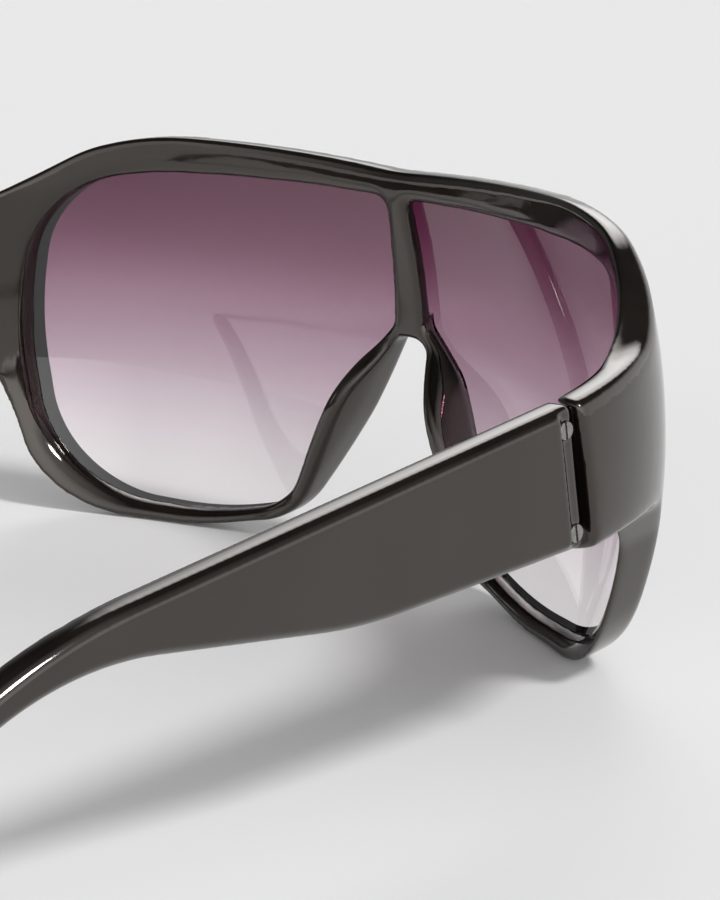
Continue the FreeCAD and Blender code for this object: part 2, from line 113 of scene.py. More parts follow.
class Tree:
    """Short way to add and join nodes in one node tree."""

    def __init__(self, tree: bpy.types.NodeTree) -> None:
        """Start with an empty tree."""
        self.tree = tree
        tree.nodes.clear()

    def add(self, kind: str, sockets: dict | None = None, **settings: object) -> bpy.types.Node:
        """Add a node.

        Args:
            kind: Blender's name for the type of node.
            sockets: Values for its inputs, by name or number.
            settings: Values for its properties.

        Returns:
            The new node.
        """
        node = self.tree.nodes.new(kind)
        for key, value in settings.items():
            setattr(node, key, value)
        for key, value in (sockets or {}).items():
            node.inputs[key].default_value = value
        return node

    def join(self, source: bpy.types.NodeSocket, target: bpy.types.NodeSocket) -> None:
        """Link an output to an input."""
        self.tree.links.new(source, target)

    def ramp(self, source: bpy.types.NodeSocket, span: tuple[float, float],
             ends: tuple[float, float] = (0.0, 1.0)) -> bpy.types.NodeSocket:
        """Map a value from one span to another, held at the ends.

        Args:
            source: The value to map.
            span: The values that become the two ends.
            ends: The two ends of the result.

        Returns:
            The mapped value's output.
        """
        values = {"From Min": span[0], "From Max": span[1], "To Min": ends[0], "To Max": ends[1]}
        node = self.add("ShaderNodeMapRange", values, clamp=True)
        self.join(source, node.inputs["Value"])
        return node.outputs["Result"]

    def noise(self, coordinates: bpy.types.NodeSocket, grain: Grain) -> bpy.types.NodeSocket:
        """Noise of one grain over a piece.

        Args:
            coordinates: Object coordinates.
            grain: The layer of noise.

        Returns:
            The noise value's output.
        """
        mapping = self.add("ShaderNodeMapping", {"Scale": grain.stretch})
        self.join(coordinates, mapping.inputs["Vector"])
        node = self.add("ShaderNodeTexNoise", {"Scale": grain.scale, "Detail": grain.detail})
        self.join(mapping.outputs["Vector"], node.inputs["Vector"])
        return node.outputs["Fac"]

    def marks(self, coordinates: bpy.types.NodeSocket, grain: Grain,
              ends: tuple[float, float] = (0.0, 1.0)) -> bpy.types.NodeSocket:
        """Noise of one grain over a piece, with its span brought to two ends."""
        return self.ramp(self.noise(coordinates, grain), grain.span, ends)

    def bump(self, height: bpy.types.NodeSocket, strength: float, depth: float) -> bpy.types.NodeSocket:
        """Surface direction for a shallow relief.

        Args:
            height: The relief, from 0 to 1.
            strength: Share of the relief that shows.
            depth: Height of the relief in millimetres.

        Returns:
            The direction's output.
        """
        node = self.add("ShaderNodeBump", {"Strength": strength, "Distance": depth * MM})
        self.join(height, node.inputs["Height"])
        return node.outputs["Normal"]

    def mix(self, share: bpy.types.NodeSocket, first: tuple[float, float, float],
            second: tuple[float, float, float]) -> bpy.types.NodeSocket:
        """Blend of two colours.

        Args:
            share: Share of the second colour.
            first: Colour at share 0.
            second: Colour at share 1.

        Returns:
            The blended colour's output.
        """
        node = self.add("ShaderNodeMix", data_type="RGBA")
        node.inputs["A"].default_value = (*first, 1.0)
        node.inputs["B"].default_value = (*second, 1.0)
        self.join(share, node.inputs["Factor"])
        return node.outputs["Result"]

    def worked(self, operation: str, first: bpy.types.NodeSocket,
               second: bpy.types.NodeSocket | float) -> bpy.types.NodeSocket:
        """Result of an operation on two values.

        Args:
            operation: Blender's name for it.
            first: The first value.
            second: The second value, from a node or plain.

        Returns:
            The result's output.
        """
        node = self.add("ShaderNodeMath", operation=operation)
        self.join(first, node.inputs[0])
        if isinstance(second, bpy.types.NodeSocket):
            self.join(second, node.inputs[1])
        else:
            node.inputs[1].default_value = second
        return node.outputs["Value"]

    def times(self, first: bpy.types.NodeSocket,
              second: bpy.types.NodeSocket | float) -> bpy.types.NodeSocket:
        """Product of two values."""
        return self.worked("MULTIPLY", first, second)

    def plus(self, first: bpy.types.NodeSocket,
             second: bpy.types.NodeSocket | float) -> bpy.types.NodeSocket:
        """Sum of two values."""
        return self.worked("ADD", first, second)

    def minus(self, first: bpy.types.NodeSocket,
              second: bpy.types.NodeSocket | float) -> bpy.types.NodeSocket:
        """Difference of two values."""
        return self.worked("SUBTRACT", first, second)


class Finish:
    """A surface finish that makes its own material once."""

    name: str

    def material(self) -> bpy.types.Material:
        """The finish's material, made when first asked for."""
        found = bpy.data.materials.get(self.name)
        return found or self.paint()

    def paint(self) -> bpy.types.Material:
        """Make the material from its nodes."""
        raise NotImplementedError

    def start(self) -> tuple[bpy.types.Material, Tree, bpy.types.Node, bpy.types.NodeSocket]:
        """Begin a material with a principled shader.

        Returns:
            The material, its tree, the shader node and the object coordinates.
        """
        material = bpy.data.materials.new(self.name)
        material.use_nodes = True
        tree = Tree(material.node_tree)
        shader = tree.add("ShaderNodeBsdfPrincipled")
        output = tree.add("ShaderNodeOutputMaterial")
        tree.join(shader.outputs["BSDF"], output.inputs["Surface"])
        coordinates = tree.add("ShaderNodeTexCoord").outputs["Object"]
        return material, tree, shader, coordinates


@dataclass(frozen=True)
class GlossPlastic(Finish):
    """Polished near-black plastic with a warm cast, faint clouds and a few scuffs."""

    name: str = "gloss_taupe_black_plastic"
    deep: tuple[float, float, float] = (0.0045, 0.0034, 0.0030)
    pale: tuple[float, float, float] = (0.0095, 0.0074, 0.0062)
    sheen: tuple[float, float, float] = (1.0, 0.92, 0.85)
    polish: tuple[float, float] = (0.05, 0.10)
    scuff_roughness: float = 0.22
    refraction: float = 1.72
    clouds: Grain = Grain(70.0, 5.0, (0.35, 0.68))
    scuff_patches: Grain = Grain(55.0, 2.0, (0.56, 0.70))
    scuff_hairs: Grain = Grain(900.0, 3.0, (0.60, 0.72), (1.0, 0.10, 1.3))
    rubs: Grain = Grain(260.0, 4.0, (0.30, 0.75))
    ripples: Grain = Grain(420.0, 2.0)
    ripple_strength: float = 0.05
    ripple_depth: float = 0.02

    def paint(self) -> bpy.types.Material:
        """Make the material from its nodes.

        Returns:
            The new material.
        """
        material, tree, shader, coordinates = self.start()
        cloud = tree.marks(coordinates, self.clouds)
        tree.join(tree.mix(cloud, self.deep, self.pale), shader.inputs["Base Color"])
        patch = tree.marks(coordinates, self.scuff_patches)
        hair = tree.marks(coordinates, self.scuff_hairs)
        scuff = tree.times(tree.times(patch, hair), self.scuff_roughness)
        rub = tree.marks(coordinates, self.rubs, self.polish)
        tree.join(tree.plus(rub, scuff), shader.inputs["Roughness"])
        ripple = tree.noise(coordinates, self.ripples)
        tree.join(tree.bump(ripple, self.ripple_strength, self.ripple_depth), shader.inputs["Normal"])
        shader.inputs["IOR"].default_value = self.refraction
        shader.inputs["Specular Tint"].default_value = (*self.sheen, 1.0)
        return material


@dataclass(frozen=True)
class TintedLens(Finish):
    """Clear lens with a plum tint that fades from top to bottom."""

    bottom: float
    top: float
    name: str = "plum_gradient_lens"
    stops: tuple[tuple[float, tuple[float, float, float]], ...] = (
        (0.00, (0.970, 0.950, 0.960)),
        (0.18, (0.900, 0.840, 0.870)),
        (0.40, (0.545, 0.390, 0.482)),
        (0.62, (0.350, 0.185, 0.268)),
        (0.78, (0.165, 0.048, 0.100)),
        (1.00, (0.082, 0.009, 0.036)),
    )
    refraction: float = 1.70
    drift: Grain = Grain(25.0, 1.0)
    drift_reach: float = 0.8
    haze: Grain = Grain(120.0, 5.0, (0.45, 0.85))
    haze_roughness: float = 0.035

    def paint(self) -> bpy.types.Material:
        """Make the material from its nodes.

        Returns:
            The new material.
        """
        material, tree, shader, coordinates = self.start()
        split = tree.add("ShaderNodeSeparateXYZ")
        tree.join(coordinates, split.inputs["Vector"])
        reach = self.drift_reach * MM
        height = tree.plus(split.outputs["Z"], tree.marks(coordinates, self.drift, (-reach, reach)))
        ramp = tree.add("ShaderNodeValToRGB")
        ramp.color_ramp.interpolation = "B_SPLINE"
        elements = ramp.color_ramp.elements
        for place, _ in self.stops[len(elements):]:
            elements.new(place)
        for element, (place, colour) in zip(elements, self.stops):
            element.position = place
            element.color = (*colour, 1.0)
        tree.join(tree.ramp(height, (self.bottom * MM, self.top * MM)), ramp.inputs["Fac"])
        tree.join(ramp.outputs["Color"], shader.inputs["Base Color"])
        haze = tree.marks(coordinates, self.haze, (0.0, self.haze_roughness))
        tree.join(haze, shader.inputs["Roughness"])
        shader.inputs["Transmission Weight"].default_value = 1.0
        shader.inputs["IOR"].default_value = self.refraction
        return material


@dataclass(frozen=True)
class TurnedSteel(Finish):
    """Steel of the hinges or screws, drawn or turned, with a fine grain."""

    name: str
    deep: tuple[float, float, float]
    pale: tuple[float, float, float]
    lines: Grain
    polish: tuple[float, float] = (0.18, 0.42)
    line_strength: float = 0.15
    line_depth: float = 0.01

    def paint(self) -> bpy.types.Material:
        """Make the material from its nodes.

        Returns:
            The new material.
        """
        material, tree, shader, coordinates = self.start()
        lines = tree.noise(coordinates, self.lines)
        tree.join(tree.mix(lines, self.deep, self.pale), shader.inputs["Base Color"])
        tree.join(tree.ramp(lines, self.lines.span, self.polish), shader.inputs["Roughness"])
        tree.join(tree.bump(lines, self.line_strength, self.line_depth), shader.inputs["Normal"])
        shader.inputs["Metallic"].default_value = 1.0
        return material


PLASTIC = GlossPlastic()
LEAF_STEEL = TurnedSteel("drawn_hinge_steel", deep=(0.42, 0.41, 0.40), pale=(0.62, 0.61, 0.59),
                         lines=Grain(1400.0, 4.0, (0.3, 0.7), (1.0, 1.0, 0.06)))
SCREW_STEEL = TurnedSteel("turned_screw_steel", deep=(0.20, 0.19, 0.18), pale=(0.38, 0.37, 0.35),
                          lines=Grain(1400.0, 4.0, (0.3, 0.7)))


def welded(node_name: str, name: str) -> bpy.types.Object:
    """Copy of a CAD node with its loose triangles joined.

    Args:
        node_name: The node to copy.
        name: Name of the new piece.

    Returns:
        The new object, linked to the scene.
    """
    mesh = frame["nodes"][node_name].data.copy()
    mesh.materials.clear()
    body = bmesh.new()
    body.from_mesh(mesh)
    bmesh.ops.remove_doubles(body, verts=body.verts, dist=WELD_REACH * MM)
    body.to_mesh(mesh)
    body.free()
    return linked(name, mesh)


def linked(name: str, mesh: bpy.types.Mesh) -> bpy.types.Object:
    """New object for a mesh.

    Args:
        name: Name for both.
        mesh: The mesh.

    Returns:
        The new object, linked to the scene.
    """
    mesh.name = name
    obj = bpy.data.objects.new(name, mesh)
    bpy.context.scene.collection.objects.link(obj)
    return obj


def settled(obj: bpy.types.Object) -> bpy.types.Mesh:
    """Apply an object's modifiers.

    Args:
        obj: The object, which stays as it is.

    Returns:
        A plain mesh of the result.
    """
    graph = bpy.context.evaluated_depsgraph_get()
    graph.update()
    return bpy.data.meshes.new_from_object(obj.evaluated_get(graph))


def break_edges(obj: bpy.types.Object, width: float, least_angle: float) -> None:
    """Round the sharp edges of a piece a little.

    Args:
        obj: The piece.
        width: Width of the rounding in millimetres.
        least_angle: Edges that turn by less than this, in degrees, stay as they are.
    """
    bevel = obj.modifiers.new("broken_edges", "BEVEL")
    bevel.width = width * MM
    bevel.segments = EDGE_SEGMENTS
    bevel.limit_method = "ANGLE"
    bevel.angle_limit = math.radians(least_angle)


def dressed(obj: bpy.types.Object, finish: Finish, body: str, slot: Slot, nodes: list[str]) -> None:
    """Give a piece its finish and tie it to its body.

    Args:
        obj: The piece.
        finish: Its finish.
        body: The body that it moves with.
        slot: The record's material slot; not used.
        nodes: The CAD nodes that it stands for.
    """
    obj.data.materials.clear()
    obj.data.materials.append(finish.material())
    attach(obj, body)
    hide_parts(*nodes)
    LOG.info("%s rides %s with %d faces", obj.name, body, len(obj.data.polygons))


@dataclass(frozen=True)
class Hinges:
    """Place of the two hinge axes and their lean in radians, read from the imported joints."""

    axis_x: float
    y: float
    z: float
    slope: float

    @classmethod
    def packed(cls) -> "Hinges":
        """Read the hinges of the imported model.

        Returns:
            Their place and lean.
        """
        joint = frame["joints"][0]
        x, y, z = (value / MM for value in joint["pos_m"])
        return cls(abs(x), y, z, math.atan2(joint["axis"][1], joint["axis"][2]))

    def place(self, x: float, back: float, up: float) -> tuple[float, float, float]:
        """Point at x, so far back from a hinge axis along a temple and so far up along the axis."""
        cosine, sine = math.cos(self.slope), math.sin(self.slope)
        return x, self.y + back * cosine + up * sine, self.z - back * sine + up * cosine

    def heights(self, points: np.ndarray) -> np.ndarray:
        """How far points lie above the middle of the hinge axes, along them."""
        back, up = points[:, 1] - self.y, points[:, 2] - self.z
        return back * math.sin(self.slope) + up * math.cos(self.slope)


@dataclass(frozen=True)
class WrapSkin:
    """Curved surface of the front, which wraps round from hinge to hinge."""

    hinges: Hinges
    half_width: float = 72.0
    front_radius: float = 113.0
    drop_radius: float = 78.4
    side_radius: float = 43.6
    front_reach: float = 45.8
    equator_fall: float = 3.3
    sure_share: float = 0.5

    def depth(self, points: np.ndarray) -> tuple[np.ndarray, np.ndarray]:
        """Depth of points under the outer surface.

        Args:
            points: Rows of x, y and z in millimetres.

        Returns:
            The depth of each point, and the outward direction there.
        """
        spread = self.half_width - self.side_radius
        inner = self.front_radius - self.side_radius
        turn = math.asin(spread / inner)
        centre = self.front_radius - self.front_reach
        side_centre = centre - inner * math.cos(turn)
        sign = np.where(points[:, 0] < 0, -1.0, 1.0)
        x = np.abs(points[:, 0])
        y = points[:, 1] - self.hinges.y
        z = points[:, 2] - self.hinges.z + self.equator_fall
        middle = np.arctan2(x, centre - y) <= turn
        straight = ~middle & (y > side_centre)
        way_x = np.where(middle, x, np.where(straight, 1.0, x - spread))
        way_y = np.where(middle, y - centre, np.where(straight, 0.0, y - side_centre))
        length = np.hypot(way_x, way_y)
        inset = np.where(middle, self.front_radius - length,
                         np.where(straight, self.half_width - x, self.side_radius - length))
        across = self.drop_radius - inset
        radius = np.hypot(across, z)
        level = across / radius
        outward = np.stack([sign * way_x / length * level, way_y / length * level, z / radius], 1)
        return self.drop_radius - radius, outward

    def settle(self, points: np.ndarray, depths: tuple[float, ...], reach: float) -> np.ndarray:
        """Move points that are near one of the depths onto it.

        Args:
            points: Rows of x, y and z in millimetres.
            depths: The depths of true surfaces.
            reach: Distance within which points are moved, and the whole way within the sure share of it.

        Returns:
            The moved points.
        """
        moved = points.copy()
        for target in depths:
            depth, outward = self.depth(moved)
            miss = depth - target
            share = np.clip((reach - np.abs(miss)) / (self.sure_share * reach), 0.0, 1.0)
            moved += outward * (miss * share)[:, None]
        return moved

    def polish(self, mesh: bpy.types.Mesh, depths: tuple[float, ...], reach: float) -> None:
        """Turn the shading of faces on the true surfaces to the surfaces' own directions.

        Args:
            mesh: The mesh to polish.
            depths: The depths of true surfaces, the outermost first.
            reach: Distance within which a face counts as on a surface.
        """
        vertex_depth, outward = self.depth(read_points(mesh))
        corners = np.empty(len(mesh.loops), np.int64)
        mesh.loops.foreach_get("vertex_index", corners)
        counts = np.empty(len(mesh.polygons), np.int64)
        mesh.polygons.foreach_get("loop_total", counts)
        flat = np.empty(len(mesh.loops) * 3, np.float32)
        mesh.corner_normals.foreach_get("vector", flat)
        normals = flat.reshape(-1, 3).astype(np.float64)
        face_of = np.repeat(np.arange(len(counts)), counts)
        for target, sign in zip(depths, (1.0, -1.0)):
            miss = np.abs(vertex_depth[corners] - target)
            worst = np.zeros(len(counts))
            np.maximum.at(worst, face_of, miss)
            on_skin = worst[face_of] < reach
            normals[on_skin] = sign * outward[corners[on_skin]]
        mesh.normals_split_custom_set(normals.astype(np.float32))


@dataclass
class Moulding:
    """Way of turning a CAD node into a moulded piece with soft edges."""

    face_size: float
    rounds: int
    most_faces: int = 186000
    gloss_rounds: int = 8
    step: float = 0.5

    def soften(self, node_name: str, name: str) -> bpy.types.Object:
        """Copy a node with an even skin of small faces and rub its edges round.

        Args:
            node_name: The node to copy.
            name: Name of the new piece.

        Returns:
            The moulded piece.
        """
        rough = welded(node_name, name + ".rough")
        even = rough.modifiers.new("even_skin", "REMESH")
        even.mode = "VOXEL"
        even.voxel_size = self.face_size * MM
        mesh = settled(rough)
        old = rough.data
        bpy.data.objects.remove(rough)
        bpy.data.meshes.remove(old)
        keep_largest_body(mesh)
        self.rub(mesh, self.rounds, np.ones(len(mesh.vertices)))
        mesh.shade_smooth()
        return linked(name, mesh)

    def rub(self, mesh: bpy.types.Mesh, rounds: int, softness: np.ndarray) -> None:
        """Draw every point towards the middle of its neighbours, as freely as its softness lets it."""
        write_points(mesh, evened(mesh, read_points(mesh), rounds, self.step * softness))

    def finish(self, piece: bpy.types.Object) -> None:
        """Thin the faces to no more than most_faces and even out its gloss.

        Args:
            piece: The moulded piece.
        """
        old = piece.data
        fewer = piece.modifiers.new("fewer_faces", "DECIMATE")
        # The even skin is made of four-sided faces, each of which counts as two triangles.
        fewer.ratio = min(1.0, self.most_faces / (2 * len(old.polygons)))
        mesh = settled(piece)
        piece.modifiers.clear()
        piece.data = mesh
        bpy.data.meshes.remove(old)
        flat = np.empty(len(mesh.vertices) * 3, np.float32)
        mesh.vertex_normals.foreach_get("vector", flat)
        even = np.full(len(mesh.vertices), self.step)
        normals = evened(mesh, flat.reshape(-1, 3).astype(np.float64), self.gloss_rounds, even)
        normals /= np.linalg.norm(normals, axis=1)[:, None]
        mesh.normals_split_custom_set_from_vertices(normals.astype(np.float32))


def keep_largest_body(mesh: bpy.types.Mesh) -> None:
    """Drop the specks that a remesh leaves in narrow gaps, and keep the largest body.

    Args:
        mesh: The mesh to clean.
    """
    body = bmesh.new()
    body.from_mesh(mesh)
    body.verts.ensure_lookup_table()
    free = [True] * len(body.verts)
    bodies = []
    for start in body.verts:
        if not free[start.index]:
            continue
        free[start.index] = False
        found = [start]
        for vert in found:
            for edge in vert.link_edges:
                other = edge.other_vert(vert)
                if free[other.index]:
                    free[other.index] = False
                    found.append(other)
        bodies.append(found)
    bodies.sort(key=len)
    specks = [vert for found in bodies[:-1] for vert in found]
    bmesh.ops.delete(body, geom=specks, context="VERTS")
    body.to_mesh(mesh)
    body.free()


def evened(mesh: bpy.types.Mesh, values: np.ndarray, rounds: int, pull: np.ndarray) -> np.ndarray:
    """Even out values held at the points of a mesh.

    Args:
        mesh: The mesh whose edges join the points.
        values: Three numbers for each point.
        rounds: How often each point moves towards the mean of its neighbours.
        pull: How far each point moves, as a share.

    Returns:
        The evened values.
    """
    ends = np.empty(len(mesh.edges) * 2, np.int64)
    mesh.edges.foreach_get("vertices", ends)
    ends = ends.reshape(-1, 2)
    count = len(values)
    neighbours = np.maximum(np.bincount(ends.ravel(), minlength=count), 1)[:, None]
    for _ in range(rounds):
        total = np.stack([
            np.bincount(ends[:, 0], values[ends[:, 1], axis], count)
            + np.bincount(ends[:, 1], values[ends[:, 0], axis], count) for axis in range(3)], 1)
        values = values + pull[:, None] * (total / neighbours - values)
    return values


def read_points(mesh: bpy.types.Mesh) -> np.ndarray:
    """Read the places of a mesh's vertices.

    Args:
        mesh: The mesh.

    Returns:
        Rows of x, y and z in millimetres.
    """
    flat = np.empty(len(mesh.vertices) * 3, np.float64)
    mesh.vertices.foreach_get("co", flat)
    return flat.reshape(-1, 3) / MM


def write_points(mesh: bpy.types.Mesh, points: np.ndarray) -> None:
    """Put vertex places in millimetres back into a mesh."""
    mesh.vertices.foreach_set("co", (points * MM).ravel())
    mesh.update()


@dataclass
class FrontFrame:
    """Moulded front with its rims, bar, nose saddle and end pieces."""

    skin: WrapSkin
    moulding: Moulding = field(default_factory=lambda: Moulding(face_size=0.20, rounds=32))
    brow_heights: tuple[float, float] = (10.5, 16.0)
    lean_depth: float = 1.2
    lean_share: float = 0.45
    roll_rounds: int = 130
    roll_depths: tuple[float, float] = (2.0, 3.4)
    roll_heights: tuple[float, float] = (4.0, 12.0)
    low_roll_share: float = 0.25
    settle_reach: float = 0.14

    def build(self) -> bpy.types.Object:
        """Make the moulded mesh, with a leaning brow and its rear edges rolled round.

        Returns:
            The moulded front.
        """
        piece = self.moulding.soften("front_frame", "front_moulding")
        points = read_points(piece.data)
        depth, outward = self.skin.depth(points)
        height = self.skin.hinges.heights(points)
        lean = np.interp(height, self.brow_heights, (0.0, self.lean_share))
        points += outward * (np.maximum(depth - self.lean_depth, 0.0) * lean)[:, None]
        write_points(piece.data, points)
        rear = np.interp(depth, self.roll_depths, (0.0, 1.0))
        softness = rear * np.interp(height, self.roll_heights, (self.low_roll_share, 1.0))
        self.moulding.rub(piece.data, self.roll_rounds, softness)
        write_points(piece.data, self.skin.settle(read_points(piece.data), (0.0,), self.settle_reach))
        self.moulding.finish(piece)
        return piece

    def dress(self, piece: bpy.types.Object) -> None:
        """Give the moulding its finish and its body."""
        dressed(piece, PLASTIC, "front", Slot.FRAME, ["front_frame"])


@dataclass
class ShieldLens:
    """One curved lens across both openings of the front, set in from its outer side."""

    skin: WrapSkin
    recess: float = 0.2
    thickness: float = 1.8
    settle_reach: float = 0.10

    def build(self) -> bpy.types.Object:
        """Make the lens mesh, with both of its faces true to the skin's curve.

        Returns:
            The lens.
        """
        piece = welded("shield_lens", "gradient_shield")
        depths = (self.recess, self.recess + self.thickness)
        write_points(piece.data, self.skin.settle(read_points(piece.data), depths, self.settle_reach))
        self.skin.polish(piece.data, depths, self.settle_reach)
        return piece

    def dress(self, piece: bpy.types.Object) -> None:
        """Give the lens its tint and its body, with its edge as dark as the seat that it sits in.

        Args:
            piece: The lens.
        """
        low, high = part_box("shield_lens")
        dressed(piece, TintedLens(low.z / MM, high.z / MM), "front", Slot.LENS, ["shield_lens"])
        piece.data.materials.append(PLASTIC.material())
        depth, _ = self.skin.depth(read_points(piece.data))
        for face in piece.data.polygons:
            face.material_index = int(np.ptp(depth[list(face.vertices)]) > self.thickness / 2)


@dataclass
class TempleArm:
    """One temple with its broad bevelled cheek and thin ear hook."""

    side: Side
    moulding: Moulding = field(default_factory=lambda: Moulding(face_size=0.18, rounds=24))
    settle_reach: float = 0.10

    @property
    def body(self) -> str:
        """The body of this temple."""
        return "temple_" + self.side.word

    def build(self) -> bpy.types.Object:
        """Make the moulded mesh, with both of its broad faces flat.

        Returns:
            The moulded temple.
        """
        piece = self.moulding.soften(self.body, self.body + "_moulding")
        points = read_points(piece.data)
        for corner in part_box(self.body):
            miss = corner.x / MM - points[:, 0]
            points[:, 0] += np.where(np.abs(miss) < self.settle_reach, miss, 0.0)
        write_points(piece.data, points)
        self.moulding.finish(piece)
        return piece

    def dress(self, piece: bpy.types.Object) -> None:
        """Give the temple its finish and its body."""
        dressed(piece, PLASTIC, self.body, Slot.FRAME, [self.body])


@dataclass
class HingeLeaves:
    """Both steel leaves of one hinge, with their edges broken."""

    side: Side
    edge_break: float = 0.06
    least_angle: float = 40.0

    def build(self) -> list[tuple[bpy.types.Object, str, str]]:
        """Make the leaves.

        Returns:
            Each leaf with its body and the node that it stands for.
        """
        leaves = []
        for part, body in (("front", "front"), ("temple", "temple_" + self.side.word)):
            node = f"hinge_{part}_leaf_{self.side.word}"
            leaf = welded(node, f"{part}_leaf_{self.side.word}")
            break_edges(leaf, self.edge_break, self.least_angle)
            leaves.append((leaf, body, node))
        return leaves

    def dress(self, leaves: list[tuple[bpy.types.Object, str, str]]) -> None:
        """Give the leaves their steel and their bodies."""
        for leaf, body, node in leaves:
            dressed(leaf, LEAF_STEEL, body, Slot.HINGE, [node])


@dataclass
class ScrewSet:
    """Slotted screws of one kind on one body, set by a node tree.

    The slot's cutter is as many head radii long as its reach says, and the shank runs into the head by the
    bite share of the head's height.
    """

    name: str
    body: str
    nodes: list[str]
    places: list[tuple[float, float, float]]
    ways: list[tuple[float, float, float]]
    slot_ways: list[tuple[float, float, float]]
    head_radius: float
    neck_radius: float
    head_height: float
    shank_radius: float
    length: float
    slot_width: float = 0.30
    slot_depth: float = 0.25
    slot_reach: float = 4.0
    bite_share: float = 0.5
    edge_break: float = 0.05
    least_angle: float = 35.0
    sides: int = 40

    def sizes(self) -> dict[str, float]:
        """List the screw's sizes.

        Returns:
            The sizes, under the names of the tree's inputs.
        """
        return {
            "Head Radius": self.head_radius,
            "Neck Radius": self.neck_radius,
            "Head Height": self.head_height,
            "Shank Radius": self.shank_radius,
            "Length": self.length,
            "Slot Width": self.slot_width,
            "Slot Depth": self.slot_depth,
        }

    def tree(self) -> bpy.types.NodeTree:
        """Node tree that sets one slotted screw on each point, along its way.

        Returns:
            The tree, with the screw's sizes and material as its inputs.
        """
        group = bpy.data.node_groups.new(self.name + "_setting", "GeometryNodeTree")
        face = group.interface
        face.new_socket("Geometry", in_out="INPUT", socket_type="NodeSocketGeometry")
        for title in self.sizes():
            face.new_socket(title, in_out="INPUT", socket_type="NodeSocketFloat")
        face.new_socket("Material", in_out="INPUT", socket_type="NodeSocketMaterial")
        face.new_socket("Geometry", in_out="OUTPUT", socket_type="NodeSocketGeometry")
        tree = Tree(group)
        given = tree.add("NodeGroupInput")
        result = tree.add("NodeGroupOutput")
        spread = tree.add("GeometryNodeInstanceOnPoints")
        tree.join(given.outputs["Geometry"], spread.inputs["Points"])
        tree.join(self.slotted(tree, given, self.blank(tree, given)), spread.inputs["Instance"])
        tree.join(self.turned(tree), spread.inputs["Rotation"])
        real = tree.add("GeometryNodeRealizeInstances")
        tree.join(spread.outputs["Instances"], real.inputs["Geometry"])
        painted = tree.add("GeometryNodeSetMaterial")
        tree.join(real.outputs["Geometry"], painted.inputs["Geometry"])
        tree.join(given.outputs["Material"], painted.inputs["Material"])
        tree.join(painted.outputs["Geometry"], result.inputs["Geometry"])
        return group

    def blank(self, tree: Tree, given: bpy.types.Node) -> bpy.types.NodeSocket:
        """Head and shank in one, with the top of the head at the origin.

        Args:
            tree: The tree to add to.
            given: The node that holds the tree's inputs.

        Returns:
            The mesh's output.
        """
        height = given.outputs["Head Height"]
        length = given.outputs["Length"]
        head = tree.add("GeometryNodeMeshCone", {"Vertices": self.sides})
        tree.join(given.outputs["Head Radius"], head.inputs["Radius Top"])
        tree.join(given.outputs["Neck Radius"], head.inputs["Radius Bottom"])
        tree.join(height, head.inputs["Depth"])
        shank = tree.add("GeometryNodeMeshCylinder", {"Vertices": self.sides})
        bite = tree.times(height, self.bite_share)
        middle = tree.times(tree.plus(length, bite), 0.5)
        tree.join(given.outputs["Shank Radius"], shank.inputs["Radius"])
        tree.join(tree.minus(length, bite), shank.inputs["Depth"])
        whole = tree.add("GeometryNodeMeshBoolean", operation="UNION", solver="EXACT")
        tree.join(self.lowered(tree, head.outputs["Mesh"], height), whole.inputs["Mesh 2"])
        tree.join(self.lowered(tree, shank.outputs["Mesh"], middle), whole.inputs["Mesh 2"])
        return whole.outputs["Mesh"]

    def slotted(self, tree: Tree, given: bpy.types.Node,
                blank: bpy.types.NodeSocket) -> bpy.types.NodeSocket:
        """Cut the slot right across the head, with a cutter whose middle is on the head's top.

        Args:
            tree: The tree to add to.
            given: The node that holds the tree's inputs.
            blank: The screw without its slot.

        Returns:
            The mesh's output.
        """
        size = tree.add("ShaderNodeCombineXYZ")
        tree.join(tree.times(given.outputs["Head Radius"], self.slot_reach), size.inputs["X"])
        tree.join(given.outputs["Slot Width"], size.inputs["Y"])
        tree.join(tree.times(given.outputs["Slot Depth"], 2.0), size.inputs["Z"])
        cutter = tree.add("GeometryNodeMeshCube")
        tree.join(size.outputs["Vector"], cutter.inputs["Size"])
        cut = tree.add("GeometryNodeMeshBoolean", operation="DIFFERENCE", solver="EXACT")
        tree.join(blank, cut.inputs["Mesh 1"])
        tree.join(cutter.outputs["Mesh"], cut.inputs["Mesh 2"])
        return cut.outputs["Mesh"]

    @staticmethod
    def turned(tree: Tree) -> bpy.types.NodeSocket:
        """Turn of each screw, with its axis along the point's way and its slot along the slot's way.

        Args:
            tree: The tree to add to.

        Returns:
            The rotation's output.
        """
        kind = "GeometryNodeInputNamedAttribute"
        way = tree.add(kind, {"Name": "way"}, data_type="FLOAT_VECTOR")
        along = tree.add("FunctionNodeAlignRotationToVector", axis="Z")
        tree.join(way.outputs["Attribute"], along.inputs["Vector"])
        slot_way = tree.add(kind, {"Name": "slot_way"}, data_type="FLOAT_VECTOR")
        across = tree.add("FunctionNodeAlignRotationToVector", axis="X", pivot_axis="Z")
        tree.join(along.outputs["Rotation"], across.inputs["Rotation"])
        tree.join(slot_way.outputs["Attribute"], across.inputs["Vector"])
        return across.outputs["Rotation"]

    @staticmethod
    def lowered(tree: Tree, mesh: bpy.types.NodeSocket,
                amount: bpy.types.NodeSocket) -> bpy.types.NodeSocket:
        """Lower a mesh.

        Args:
            tree: The tree to add to.
            mesh: The mesh to lower.
            amount: How far to lower it.

        Returns:
            The lowered mesh's output.
        """
        place = tree.add("ShaderNodeCombineXYZ")
        tree.join(tree.times(amount, -1.0), place.inputs["Z"])
        move = tree.add("GeometryNodeTransform")
        tree.join(mesh, move.inputs["Geometry"])
        tree.join(place.outputs["Vector"], move.inputs["Translation"])
        return move.outputs["Geometry"]

